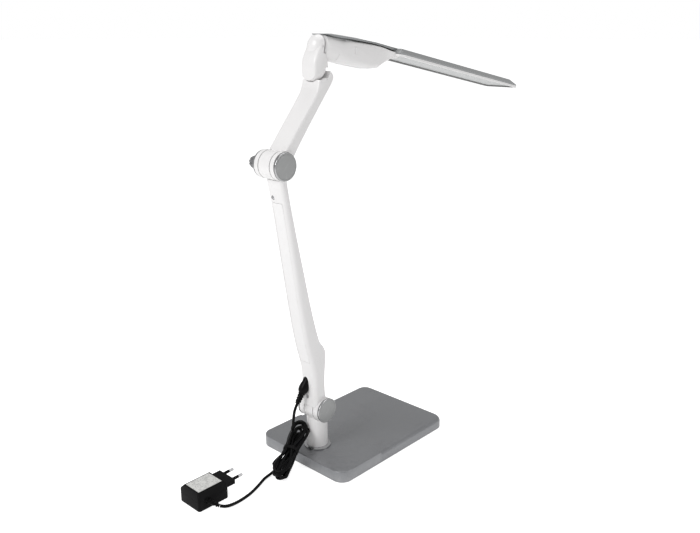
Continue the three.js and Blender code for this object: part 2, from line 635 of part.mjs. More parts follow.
function headCover() {
  const rings = [
    [HEAD.seam + GAP, 0.2], [HEAD.seam + GAP + 1.1, 0], [HEAD.top - 0.6, HEAD.bevel - 0.8],
    [HEAD.top, HEAD.bevel],
  ].map(([z, inset]) => {
    const points = headOutline(inset).getPoints(5);
    return points.map(({ x, y }) => new THREE.Vector3(x + headMiddle, y, z));
  });
  const count = Math.min(...rings.map((ring) => ring.length));
  const lid = loft(rings.map((ring) => ring.slice(0, count)));
  const tongueRear = [
    [-29, 13.4], [-10, 13.5], [8, 15], [50, 17.5], [72, 17.6], [96, 16.2], [120, 15.6], [120, 19.8],
    [60, 20], [20, 18.4], [-12, 16.2], [-24, 15.2], [-29, 14.4],
  ];
  const tongue = sideways(polygon(tongueRear), 13.2);
  const under = headPlate(12, HEAD.seam - 2, HEAD.top - 2);
  const plugRoom = block([60, 106], [-6, 6], [HEAD.seam - 3, 14.5]);
  return cut(join(cut(lid, loft(ringsAlong(NECK.map(grown)))), tongue), under, plugRoom);
}

// A neck station grown by the gap, so that the cover clears the neck.
const grown = ([x, half, low, high, round]) => [x, half + GAP, low - GAP, high + GAP, round + GAP];

function addHead() {
  add(head, 'head_housing', headHousing(), 'white');
  add(head, 'head_cover', headCover(), 'silver');
  add(head, 'head_diffuser', headPlate(4.5 + GAP, HEAD.rim + 1, HEAD.rim + 2), 'diffuser');
  add(head, 'led_board', headPlate(13, HEAD.seam + 1, HEAD.seam + 2.4), 'board');
  add(head, 'driver_board', block([14, 60], [-9.5, 9.5], [-8.4, -6.8]), 'board');
  add(head, 'switch_body', block([17.6, 24.4], [-10.8, -5.2], [-3, 10]), 'darkGrey');
  const face = -HOUSING.halfWidth - BUTTON.stands;
  add(head, 'power_button', buttonShape(0, [face, -12.4]), 'white');
}

// ---------------------------------------------------------------- lead
// Routes of the lead, from the plug to the adapter.
const LEAD_TOP = [[-105.2, 8, 85.4], [-108, 8.6, 80], [-110.2, 9, 74.5], [-111.2, 9.2, 68.3]];
const LEAD_RISER = [[-111.4, 9.2, 67.9], [-112.4, 9, 60], [-113.6, 8, 52], [-114.6, 6.6, 46.4]];
const LEAD_RUN = [
  [-152.6, 2, 4.6], [-157.4, 8, 2.4], [-166, 7.6, 2.2], [-182, -1, 2.2], [-204, -8.4, 2.2],
  [-222, -10.6, 2.2], [-236, -10.4, 2.6], [-244.6, -8.4, 3.7], [-249.6, -5, 5.1],
];

function leadTube(points) {
  const curve = new THREE.CatmullRomCurve3(points.map((point) => new THREE.Vector3(...point)));
  const circle = new THREE.Shape();
  circle.absarc(0, 0, LEAD.diameter / 2, 0, 2 * Math.PI, false);
  const geometry = new THREE.ExtrudeGeometry(circle, {
    steps: Math.max(4, Math.round(curve.getLength() / LEAD.step)),
    curveSegments: LEAD.sides,
    extrudePath: curve,
  });
  return toSolid(geometry);
}

// The hank lies in a plane of its own: u runs up its length, w across it.
function hankFrame() {
  const [low, high] = [new THREE.Vector3(...HANK.low), new THREE.Vector3(...HANK.high)];
  const u = high.clone().sub(low).normalize();
  const w = new THREE.Vector3(-u.y, u.x, 0).normalize();
  const n = u.clone().cross(w);
  const place = new THREE.Matrix4().makeBasis(u, w, n).setPosition(low);
  return { place, length: low.distanceTo(high) };
}

function hankOutline(length, radius) {
  const shape = new THREE.Shape();
  shape.moveTo(0, -radius);
  shape.lineTo(length, -radius);
  shape.absarc(length, 0, radius, -Math.PI / 2, Math.PI / 2, false);
  shape.absarc(0, 0, radius, Math.PI / 2, 1.5 * Math.PI, false);
  return shape;
}

function hank() {
  const { place, length } = hankFrame();
  const half = HANK.thickness / 2;
  const solid = plate(hankOutline(length, HANK.radius), -half, half, 3, 2, 6);
  const groove = cut(
    block([length / 2 - 3.2, length / 2 + 3.2], [-30, 30], [-30, 30]),
    block([0, length], [-8.4, 8.4], [-4.4, 4.4])
  );
  return cut(solid, groove).transform(place.elements);
}

function leadTie() {
  const { place, length } = hankFrame();
  const [low, high] = [length / 2 - TIE.width / 2, length / 2 + TIE.width / 2];
  const outer = block([low, high], [-8.7 - TIE.proud, 8.7 + TIE.proud], [-4.7 - TIE.proud, 4.7 + TIE.proud]);
  return cut(outer, block([low - 1, high + 1], [-8.7, 8.7], [-4.7, 4.7])).transform(place.elements);
}

function addLead() {
  add(lamp, 'lead_top', leadTube(LEAD_TOP), 'black');
  add(lamp, 'lead_riser', leadTube(LEAD_RISER), 'black');
  add(lamp, 'lead_hank', hank(), 'black');
  add(lamp, 'lead_tie', leadTie(), 'black');
  add(lamp, 'lead_run', leadTube(LEAD_RUN), 'black');
}

// ---------------------------------------------------------------- adapter
function adapterBox(inset, low, high, edge) {
  const [x, y] = [ADAPTER.x, ADAPTER.y];
  const shape = roundedRectangle(x[1] - x[0] - 2 * inset, y[1] - y[0] - 2 * inset, Math.max(3 - inset, 1.2));
  const box = plate(shape, low, high, edge, 2, 3).translate((x[0] + x[1]) / 2, (y[0] + y[1]) / 2, 0);
  return cut(box, ...slopes(inset));
}

// What the two sloping faces take off the top of the adapter, moved in by `inset`.
function slopes(inset) {
  const [front, far, top] = [ADAPTER.x[1], ADAPTER.y[1], ADAPTER.height];
  const big = 20;
  const wedge = ([inwards, downwards], edge) => {
    const slant = Math.hypot(inwards, downwards) * inset;
    const [start, foot] = [edge - inwards - slant / downwards, top - downwards - slant / inwards];
    return polygon([
      [start, top], [start - (big * inwards) / downwards, top + big], [edge + big, top + big],
      [edge + big, foot - (big * downwards) / inwards], [edge, foot],
    ]);
  };
  return [sideways(wedge(SLOPE.front, front), 90), lengthways(wedge(SLOPE.far, far), -400, 0)];
}

// A piece with an end outline in YZ, between two places along X.
function lengthways(shape, fromX, toX) {
  const geometry = new THREE.ExtrudeGeometry(shape, { depth: toX - fromX, bevelEnabled: false });
  const [x, y, z] = [[1, 0, 0], [0, 1, 0], [0, 0, 1]].map((way) => new THREE.Vector3(...way));
  geometry.applyMatrix4(new THREE.Matrix4().makeBasis(y, z, x));
  geometry.translate(fromX, 0, 0);
  return toSolid(geometry);
}

function addAdapterCase() {
  const { x, y, height, wall } = ADAPTER;
  const seam = height / 2;
  const everywhere = [-400, 0];
  const glandRoom = spun(rod(3.6, -8, 5), GLAND.from, glandWay, 20);
  const noseAcross = [NOSE.y[0] + 1, NOSE.y[1] - 1];
  const noseRoom = block([x[1] - 6, x[1] + 3], noseAcross, [NOSE.z[0] + 0.5, NOSE.z[1] - 0.5]);
  const labelPlace = [[x[0] + 1.6, x[1] - 8.2], [y[0] + 1.4, y[1] - 11]];
  const labelRoom = block(...labelPlace, [height - 0.5, height + 2]);
  const inside = adapterBox(wall, wall, height - wall, 0);
  const shell = cut(adapterBox(0, 0, height, 0.9), inside, glandRoom, noseRoom, labelRoom);
  const lower = shell.intersect(block(everywhere, [-40, 90], [-5, seam - GAP / 2]));
  const upper = shell.intersect(block(everywhere, [-40, 90], [seam + GAP / 2, 60]));
  add(lamp, 'adapter_base', lower, 'black');
  add(lamp, 'adapter_lid', upper, 'black');
  const [labelX, labelY] = labelPlace.map(([low, high]) => [low + GAP, high - GAP]);
  add(lamp, 'adapter_label', block(labelX, labelY, [height - 0.2, height + 0.1]), 'label');
  add(lamp, 'adapter_board', block([x[0] + 4, x[1] - 7], [y[0] + 5, y[1] - 5], [4.6, 6.2]), 'board');
  add(lamp, 'adapter_transformer', block([x[0] + 11, x[0] + 29], [17, 35], [6.5, 20]), 'darkGrey');
}

function addAdapterPlug() {
  const back = ADAPTER.x[1];
  const noseEnd = back + NOSE.length;
  const flange = block([back + GAP, noseEnd], NOSE.y, NOSE.z);
  const [rootY, rootZ] = [[NOSE.y, 1 + GAP], [NOSE.z, 0.5 + GAP]].map(
    ([[low, high], inset]) => [low + inset, high - inset]
  );
  const root = block([back - 3.4, back + 1], rootY, rootZ);
  const pins = [-1, 1].map((side) => PINS.middle + (side * PINS.gap) / 2);
  const pinRooms = pins.map((y) => {
    const [from, to] = [back - 8, noseEnd + 2].map((x) => [x, y, PINS.height]);
    return bar(from, to, 2.5, 2.5, 20);
  });
  add(lamp, 'adapter_nose', cut(join(flange, root), ...pinRooms), 'black');
  pins.forEach((y, i) => {
    const name = ['right', 'left'][i];
    const foot = [noseEnd, y, PINS.height];
    const end = PINS.length;
    const pin = [
      [0, -14], [1.5, -14], [1.5, 9.6], [PINS.radius, 9.7], [PINS.radius, end - 1], [1.1, end], [0, end],
    ];
    const sleeve = [[1.8, -10], [2.2, -10], [2.2, -GAP], [2, 0.2], [2, 9.3], [1.8, 9.3], [1.8, -10]];
    add(lamp, `adapter_pin_${name}`, spun(pin, foot, [1, 0, 0], 20), 'steel');
    add(lamp, `adapter_pin_sleeve_${name}`, spun(sleeve, foot, [1, 0, 0], 20), 'black');
  });
}

const glandWay = GLAND.to.map((value, i) => value - GLAND.from[i]);

function adapterGland() {
  const collar = rod(3.2, -6, -4.2).slice(0, 3);
  const taper = reliefProfile(-4.2, Math.hypot(...glandWay), 3, 2.3, 4).slice(1);
  return spun([...collar, ...taper], GLAND.from, glandWay, 16);
}

function addAdapter() {
  addAdapterCase();
  addAdapterPlug();
  add(lamp, 'adapter_gland', adapterGland(), 'black');
}

addBase();
addPost();
addLowerArm();
add(lamp, 'elbow_knob', elbowKnob(), 'darkGrey');
addUpperArm();
addYoke();
addHead();
addLead();
addAdapter();

export default lamp;
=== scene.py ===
"""Articulated LED desk lamp on a weighted base, with its wound-up lead and plug-in adapter.

Lengths in the piece functions are millimetres in the lamp's own frame: +X is the way the head
reaches, +Y is the lamp's left, +Z is up, and the origin is the middle of the base's underside.
"""
import json
import math

import bmesh
import bpy
from bpy.props import FloatProperty, FloatVectorProperty, IntProperty, PointerProperty
from mathutils import Matrix, Vector

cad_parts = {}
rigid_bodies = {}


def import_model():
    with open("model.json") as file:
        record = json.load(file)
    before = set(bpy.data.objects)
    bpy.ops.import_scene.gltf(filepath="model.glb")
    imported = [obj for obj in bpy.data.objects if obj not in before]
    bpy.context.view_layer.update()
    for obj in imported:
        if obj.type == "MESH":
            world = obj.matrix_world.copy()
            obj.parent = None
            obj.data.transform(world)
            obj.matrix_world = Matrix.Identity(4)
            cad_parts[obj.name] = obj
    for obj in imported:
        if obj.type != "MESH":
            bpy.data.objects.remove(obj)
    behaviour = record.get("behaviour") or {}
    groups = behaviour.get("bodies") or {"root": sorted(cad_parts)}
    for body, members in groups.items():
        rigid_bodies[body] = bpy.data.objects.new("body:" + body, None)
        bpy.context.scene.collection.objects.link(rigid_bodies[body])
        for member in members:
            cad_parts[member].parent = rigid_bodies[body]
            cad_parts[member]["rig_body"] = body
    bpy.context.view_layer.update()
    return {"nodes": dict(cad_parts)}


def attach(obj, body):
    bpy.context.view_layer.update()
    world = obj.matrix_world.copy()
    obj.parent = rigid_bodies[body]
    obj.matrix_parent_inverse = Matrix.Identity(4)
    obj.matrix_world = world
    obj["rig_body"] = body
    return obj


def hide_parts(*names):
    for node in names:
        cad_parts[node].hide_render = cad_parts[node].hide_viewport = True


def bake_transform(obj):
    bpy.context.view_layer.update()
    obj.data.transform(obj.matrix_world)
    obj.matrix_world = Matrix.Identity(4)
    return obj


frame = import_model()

bl_info = {
    "name": "Desk lamp builder",
    "version": (1, 0, 0),
    "blender": (4, 5, 0),
    "location": "3D Viewport > Sidebar > Desk Lamp",
    "description": "Builds an articulated LED desk lamp with its lead, adapter, lights and camera",
    "category": "Add Mesh",
}

MM = 0.001
BASE = {"length": 220, "width": 160, "height": 16.3, "corner": 16, "foot": 0.35, "edge": 1.2}
RIM = {"start": -33, "radius": 7, "notch": 3, "notch_radius": 2.1}
HINGE = Vector((-76, 0, 74))
ELBOW = Vector((-140.3, 0, 412))
CAP = {"radius": 16.9, "height": 2.8, "stand": 17.3}
HEAD = {"rear": 92, "tip": 387, "half_width": 30, "corner": 9, "rim": 8.6}
HEAD_PLACE = Matrix.Translation((-37, 0, 541)) @ Matrix.Rotation(math.radians(10.6), 4, "Y")
DIFFUSER = {"inset": 4.9, "frame_inset": 4.52, "depth": 1.95}
BUTTON = {"x": 21, "z": 3.5, "radius": 1.5, "half_length": 4}
PLUG_FROM, PLUG_TO = Vector((-86, 4, 121)), Vector((-105, 8, 86))
LEAD_AT_HINGE = Vector((-112.7, 8.9, 55.5))
HANK_LOW, HANK_HIGH = Vector((-150, -10, 14.5)), Vector((-103, 8, 41.5))
GLAND_FROM, GLAND_TO = Vector((-258, 6.7, 11)), Vector((-250, -4.5, 5.4))
CAMERA_PLACE = Vector((-740.06, -680.13, 561.46))
CAMERA_TURN = {"heading": 0.750, "dip": 0.295}
CAMERA_LENS, CAMERA_SENSOR = 39.57, 36
SKY_STRENGTH = 0.43
FLOOR_GLOW = {"own": 0.25, "seen": 0.5}
LIGHT_AIM = Vector((0, 0, 0.25))


# ---------------------------------------------------------------- settings
class LampColours(bpy.types.PropertyGroup):
    """Colours of the finishes, as linear values."""

    white: FloatVectorProperty(
        name="White plastic", description="Arms, post, yoke and head body",
        subtype="COLOR", size=3, min=0, max=1, default=(0.80, 0.79, 0.79),
    )
    silver: FloatVectorProperty(
        name="Silver", description="Head cover and collar",
        subtype="COLOR", size=3, min=0, max=1, default=(0.36, 0.37, 0.375),
    )
    disc: FloatVectorProperty(
        name="Disc grey", description="Discs that close the hinges",
        subtype="COLOR", size=3, min=0, max=1, default=(0.34, 0.345, 0.345),
    )
    base: FloatVectorProperty(
        name="Base grey", description="Paint of the base",
        subtype="COLOR", size=3, min=0, max=1, default=(0.245, 0.25, 0.262),
    )
    diffuser: FloatVectorProperty(
        name="Diffuser", description="Milky plate under the head",
        subtype="COLOR", size=3, min=0, max=1, default=(0.56, 0.57, 0.57),
    )
    black: FloatVectorProperty(
        name="Black", description="Lead, plug and adapter",
        subtype="COLOR", size=3, min=0, max=1, default=(0.004, 0.004, 0.0043),
    )


class LampSizes(bpy.types.PropertyGroup):
    """Sizes that a user may change."""

    base_edge: FloatProperty(
        name="Base front rim", description="Radius of the softer rim round the front of the base",
        default=RIM["radius"] * MM, min=0.001, max=0.008, unit="LENGTH", subtype="DISTANCE",
    )
    knob_flutes: IntProperty(
        name="Knob flutes", description="Grip flutes round the clamp knob", default=10, min=6, max=18,
    )
    lead_diameter: FloatProperty(
        name="Lead diameter", description="Outside diameter of the lead",
        default=0.004, min=0.002, max=0.005, unit="LENGTH", subtype="DISTANCE",
    )
    light_power: FloatProperty(
        name="Light power", description="Strength of the soft studio light", default=1.0, min=0.1, max=4,
        subtype="FACTOR",
    )


# ---------------------------------------------------------------- mesh helpers
def new_object(name, mesh, material=None):
    """An object in the scene for a mesh."""
    piece = bpy.data.objects.new(name, mesh)
    bpy.context.scene.collection.objects.link(piece)
    if material:
        mesh.materials.append(material)
    return piece


def skin(name, points, faces, material=None, sharp=35, place=None):
    """A mesh object from points in millimetres, smooth except across edges sharper than `sharp` degrees."""
    place = place or Matrix.Identity(4)
    mesh = bpy.data.meshes.new(name)
    mesh.from_pydata([(place @ Vector(p)) * MM for p in points], [], faces)
    tidy(mesh, sharp)
    return new_object(name, mesh, material)


def tidy(mesh, sharp):
    """Welds a mesh, turns its faces outwards and shades it smooth between sharp edges."""
    work = bmesh.new()
    work.from_mesh(mesh)
    bmesh.ops.remove_doubles(work, verts=work.verts, dist=1e-6)
    bmesh.ops.recalc_face_normals(work, faces=work.faces)
    work.to_mesh(mesh)
    work.free()
    mesh.shade_smooth()
    mesh.set_sharp_from_angle(angle=math.radians(sharp))


def loft_faces(count, rings, closed=False):
    """Quads between rings of `count` points, with a flat face at each end unless the rings close up."""
    faces = []
    for ring in range(rings if closed else rings - 1):
        a, b = ring * count, ((ring + 1) % rings) * count
        faces += [(a + i, a + (i + 1) % count, b + (i + 1) % count, b + i) for i in range(count)]
    if not closed:
        faces.append(tuple(range(count))[::-1])
        faces.append(tuple(range((rings - 1) * count, rings * count)))
    return faces


def loft(name, rings, material=None, sharp=35, closed=False, place=None):
    """A mesh object stretched over rings that all have the same number of points."""
    points = [p for ring in rings for p in ring]
    return skin(name, points, loft_faces(len(rings[0]), len(rings), closed), material, sharp, place)


def basis_along(way):
    """Two unit vectors across `way`."""
    way = Vector(way).normalized()
    helper = Vector((0, 0, 1)) if abs(way.z) < 0.9 else Vector((1, 0, 0))
    across = way.cross(helper).normalized()
    return across, way.cross(across).normalized()


def turned(name, profile, origin, way, material=None, sides=72, sharp=30, closed=False, radius_at=None):
    """A turned piece: (radius, distance) points spun about the line from `origin` along `way`."""
    origin, way = Vector(origin), Vector(way).normalized()
    across, up = basis_along(way)
    rings = []
    for radius, distance in profile:
        ring = []
        for i in range(sides):
            angle = 2 * math.pi * i / sides
            r = radius_at(radius, distance, angle) if radius_at else radius
            ring.append(origin + way * distance + (across * math.cos(angle) + up * math.sin(angle)) * r)
        rings.append(ring)
    return loft(name, rings, material, sharp, closed)


def arc_steps(corner, radius, start, end, steps):
    """Points of a quarter arc in a profile, from angle start to end in degrees."""
    points = []
    for i in range(steps + 1):
        angle = math.radians(start + (end - start) * i / steps)
        points.append((corner[0] + radius * math.cos(angle), corner[1] + radius * math.sin(angle)))
    return points


def rounded_rectangle(half_x, half_y, corner, steps=10):
    """Corner-rounded outline as (point, outward way) pairs, counter-clockwise."""
    outline = []
    for quarter, (sx, sy) in enumerate(((1, 1), (-1, 1), (-1, -1), (1, -1))):
        for i in range(steps + 1):
            angle = math.pi / 2 * (quarter + i / steps)
            out = Vector((math.cos(angle), math.sin(angle)))
            middle = Vector((sx * (half_x - corner), sy * (half_y - corner)))
            outline.append((middle + out * corner, out))
    return outline


def slab_rings(half_x, half_y, corner, levels, steps, centre):
    """Rings of a rounded slab, one for each (inset, height) level."""
    outline = rounded_rectangle(half_x, half_y, corner, steps)
    return [
        [(centre[0] + p.x - out.x * inset, centre[1] + p.y - out.y * inset, z) for p, out in outline]
        for inset, z in levels
    ]


def smooth_line(points, step):
    """A Catmull-Rom line through points, sampled about `step` apart."""
    points = [Vector(p) for p in points]
    line = []
    for i in range(len(points) - 1):
        p1, p2 = points[i], points[i + 1]
        p0 = points[i - 1] if i else p1 * 2 - p2
        p3 = points[i + 2] if i + 2 < len(points) else p2 * 2 - p1
        pieces = max(1, round((p2 - p1).length / step))
        for k in range(pieces):
            t = k / pieces
            line.append(
                0.5 * (
                    2 * p1 + (p2 - p0) * t + (2 * p0 - 5 * p1 + 4 * p2 - p3) * t * t
                    + (3 * p1 - p0 - 3 * p2 + p3) * t * t * t
                )
            )
    return [*line, points[-1]]


def tube(name, line, radius, material, sides=12):
    """A round tube along a line, its rings turned as little as possible from one to the next."""
    rings, across = [], None
    for i, point in enumerate(line):
        way = (line[min(i + 1, len(line) - 1)] - line[max(i - 1, 0)]).normalized()
        if across is None:
            across = basis_along(way)[0]
        across = (across - way * across.dot(way)).normalized()
        up = way.cross(across)
        angles = [2 * math.pi * k / sides for k in range(sides)]
        rings.append([point + (across * math.cos(a) + up * math.sin(a)) * radius for a in angles])
    return loft(name, rings, material, 60)


def refined(node, material, sharp=32):
    """A welded, smooth-shaded copy of a CAD node that stands for it."""
    source = frame["nodes"][node]
    mesh = source.data.copy()
    mesh.materials.clear()
    work = bmesh.new()
    work.from_mesh(mesh)
    bmesh.ops.remove_doubles(work, verts=work.verts, dist=2e-6)
    bmesh.ops.dissolve_limit(work, angle_limit=math.radians(0.4), verts=work.verts, edges=work.edges)
    work.to_mesh(mesh)
    work.free()
    if "custom_normal" in mesh.attributes:
        mesh.attributes.remove(mesh.attributes["custom_normal"])
    mesh.shade_smooth()
    mesh.set_sharp_from_angle(angle=math.radians(sharp))
    return stand_for(new_object(node + "_skin", mesh, material), node)


def stand_for(piece, node):
    """Puts a piece in the place of a CAD node, on its body, and hides the node."""
    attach(piece, frame["nodes"][node]["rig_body"])
    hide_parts(node)
    return piece


def with_body(piece, node):
    """A detail piece that rides with a CAD node, but stands for nothing."""
    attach(piece, frame["nodes"][node]["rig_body"])
    return piece


def dress(node, material):
    """Gives a CAD node that stays a better material."""
    data = frame["nodes"][node].data
    data.materials.clear()
    data.materials.append(material)


# ---------------------------------------------------------------- materials
def group_socket(group, name, kind, way, value=None):
    """Adds an input or output to a node group, with its first value."""
    socket = group.interface.new_socket(name=name, in_out=way, socket_type=kind)
    if value is not None:
        socket.default_value = value
    return socket


class Tree:
    """Short calls for adding and linking shader nodes."""

    def __init__(self, tree):
        self.tree = tree

    def node(self, kind, **values):
        made = self.tree.nodes.new(kind)
        for key, value in values.items():
            setattr(made, key, value)
        return made

    def link(self, source, target):
        self.tree.links.new(source, target)

    def math(self, operation, a, b=None, clamp=False):
        made = self.node("ShaderNodeMath", operation=operation, use_clamp=clamp)
        for socket, value in zip(made.inputs, (a, b)):
            if isinstance(value, (int, float)):
                socket.default_value = value
            elif value is not None:
                self.link(value, socket)
        return made.outputs[0]


def grain_group():
    """Fine moulded or painted grain: a colour, a roughness and a height that vary over the surface."""
    name = "Surface grain"
    if name in bpy.data.node_groups:
        return bpy.data.node_groups[name]
    group = bpy.data.node_groups.new(name, "ShaderNodeTree")
    group_socket(group, "Color", "NodeSocketColor", "INPUT", (0.8, 0.8, 0.8, 1))
    group_socket(group, "Stretch", "NodeSocketVector", "INPUT", (1, 1, 1))
    group_socket(group, "Grain scale", "NodeSocketFloat", "INPUT", 900)
    group_socket(group, "Patch scale", "NodeSocketFloat", "INPUT", 14)
    group_socket(group, "Tone change", "NodeSocketFloat", "INPUT", 0.04)
    group_socket(group, "Roughness", "NodeSocketFloat", "INPUT", 0.4)
    group_socket(group, "Roughness change", "NodeSocketFloat", "INPUT", 0.08)
    group_socket(group, "Color", "NodeSocketColor", "OUTPUT")
    group_socket(group, "Roughness", "NodeSocketFloat", "OUTPUT")
    group_socket(group, "Height", "NodeSocketFloat", "OUTPUT")
    t = Tree(group)
    given, out = t.node("NodeGroupInput"), t.node("NodeGroupOutput")
    place = t.node("ShaderNodeTexCoord")
    stretch = t.node("ShaderNodeVectorMath", operation="MULTIPLY")
    t.link(place.outputs["Object"], stretch.inputs[0])
    t.link(given.outputs["Stretch"], stretch.inputs[1])
    grain = t.node("ShaderNodeTexNoise", noise_dimensions="3D")
    grain.inputs["Detail"].default_value = 3
    t.link(stretch.outputs[0], grain.inputs["Vector"])
    t.link(given.outputs["Grain scale"], grain.inputs["Scale"])
    patch = t.node("ShaderNodeTexNoise", noise_dimensions="3D")
    patch.inputs["Detail"].default_value = 4
    t.link(place.outputs["Object"], patch.inputs["Vector"])
    t.link(given.outputs["Patch scale"], patch.inputs["Scale"])
    both = t.math("ADD", t.math("MULTIPLY", grain.outputs[0], 0.5), t.math("MULTIPLY", patch.outputs[0], 0.5))
    centred = t.math("SUBTRACT", both, 0.5)
    tone = t.math("ADD", t.math("MULTIPLY", t.math("MULTIPLY", centred, given.outputs["Tone change"]), 4), 1)
    shade = t.node("ShaderNodeVectorMath", operation="SCALE")
    t.link(given.outputs["Color"], shade.inputs[0])
    t.link(tone, shade.inputs["Scale"])
    rough = t.math(
        "ADD", given.outputs["Roughness"],
        t.math("MULTIPLY", t.math("MULTIPLY", centred, given.outputs["Roughness change"]), 4), clamp=True,
    )
    t.link(shade.outputs[0], out.inputs["Color"])
    t.link(rough, out.inputs["Roughness"])
    t.link(grain.outputs[0], out.inputs["Height"])
    return group


def wear_and_highlight_group():
    """Light scuffs on raised edges, which lighten them as wear and as a painted highlight, and a little dust
    on upward faces, as two masks.
    """
    name = "Edge wear and dust"
    if name in bpy.data.node_groups:
        return bpy.data.node_groups[name]
    group = bpy.data.node_groups.new(name, "ShaderNodeTree")
    group_socket(group, "Color", "NodeSocketColor", "INPUT", (0.8, 0.8, 0.8, 1))
    group_socket(group, "Edge color", "NodeSocketColor", "INPUT", (0.9, 0.9, 0.9, 1))
    group_socket(group, "Edge amount", "NodeSocketFloat", "INPUT", 0.3)
    group_socket(group, "Dust amount", "NodeSocketFloat", "INPUT", 0.03)
    group_socket(group, "Color", "NodeSocketColor", "OUTPUT")
    t = Tree(group)
    given, out = t.node("NodeGroupInput"), t.node("NodeGroupOutput")
    surface = t.node("ShaderNodeNewGeometry")
    place = t.node("ShaderNodeTexCoord")
    scuff = t.node("ShaderNodeTexNoise")
    scuff.inputs["Scale"].default_value = 160
    t.link(place.outputs["Object"], scuff.inputs["Vector"])
    # Convex edges are lightened: wear, and a painted edge highlight.
    raised = t.math("MULTIPLY", t.math("SUBTRACT", surface.outputs["Pointiness"], 0.53), 12, clamp=True)
    edge_wear_and_highlight = t.math("MULTIPLY", raised, scuff.outputs[0])
    wear_and_highlight = t.math("MULTIPLY", edge_wear_and_highlight, given.outputs["Edge amount"], clamp=True)
    split = t.node("ShaderNodeSeparateXYZ")
    t.link(surface.outputs["Normal"], split.inputs[0])
    upward = t.math("MULTIPLY", t.math("MAXIMUM", split.outputs["Z"], 0.0), given.outputs["Dust amount"])
    dusty = t.math("MULTIPLY", upward, scuff.outputs[0], clamp=True)
    edge = t.node("ShaderNodeMix", data_type="RGBA")
    t.link(wear_and_highlight, edge.inputs["Factor"])
    t.link(given.outputs["Color"], edge.inputs["A"])
    t.link(given.outputs["Edge color"], edge.inputs["B"])
    dust = t.node("ShaderNodeMix", data_type="RGBA")
    t.link(dusty, dust.inputs["Factor"])
    t.link(edge.outputs["Result"], dust.inputs["A"])
    dust.inputs["B"].default_value = (0.62, 0.6, 0.57, 1)
    t.link(dust.outputs["Result"], out.inputs["Color"])
    return group


def finish_material(
    name, color, roughness, metallic=0.0, coat=0.0, grain=900, tone=0.02, change=0.05, bump=0.1, patch=14,
    stretch=(1, 1, 1), edge=0.25, edge_color=None, dust=0.02, bump_distance=0.00006, specular=0.5,
):
    """A surface with fine grain, tone changes, worn edges lightened as wear and as a painted highlight, and a
    little dust.
    """
    if name in bpy.data.materials:
        return bpy.data.materials[name]
    material = bpy.data.materials.new(name)
    material.use_nodes = True
    t = Tree(material.node_tree)
    shader = material.node_tree.nodes["Principled BSDF"]
    grainy = t.node("ShaderNodeGroup", node_tree=grain_group())
    grainy.inputs["Color"].default_value = (*color, 1)
    grainy.inputs["Stretch"].default_value = stretch
    grainy.inputs["Grain scale"].default_value = grain
    grainy.inputs["Patch scale"].default_value = patch
    grainy.inputs["Tone change"].default_value = tone
    grainy.inputs["Roughness"].default_value = roughness
    grainy.inputs["Roughness change"].default_value = change
    wear_and_highlight = t.node("ShaderNodeGroup", node_tree=wear_and_highlight_group())
    lighter = edge_color or tuple(min(1, c * 1.35 + 0.02) for c in color)
    wear_and_highlight.inputs["Edge color"].default_value = (*lighter, 1)
    wear_and_highlight.inputs["Edge amount"].default_value = edge
    wear_and_highlight.inputs["Dust amount"].default_value = dust
    t.link(grainy.outputs["Color"], wear_and_highlight.inputs["Color"])
    t.link(wear_and_highlight.outputs["Color"], shader.inputs["Base Color"])
    t.link(grainy.outputs["Roughness"], shader.inputs["Roughness"])
    lift = t.node("ShaderNodeBump")
    lift.inputs["Strength"].default_value = bump
    lift.inputs["Distance"].default_value = bump_distance
    t.link(grainy.outputs["Height"], lift.inputs["Height"])
    t.link(lift.outputs["Normal"], shader.inputs["Normal"])
    shader.inputs["Metallic"].default_value = metallic
    shader.inputs["Specular IOR Level"].default_value = specular
    shader.inputs["Coat Weight"].default_value = coat
    shader.inputs["Coat Roughness"].default_value = 0.12
    return material


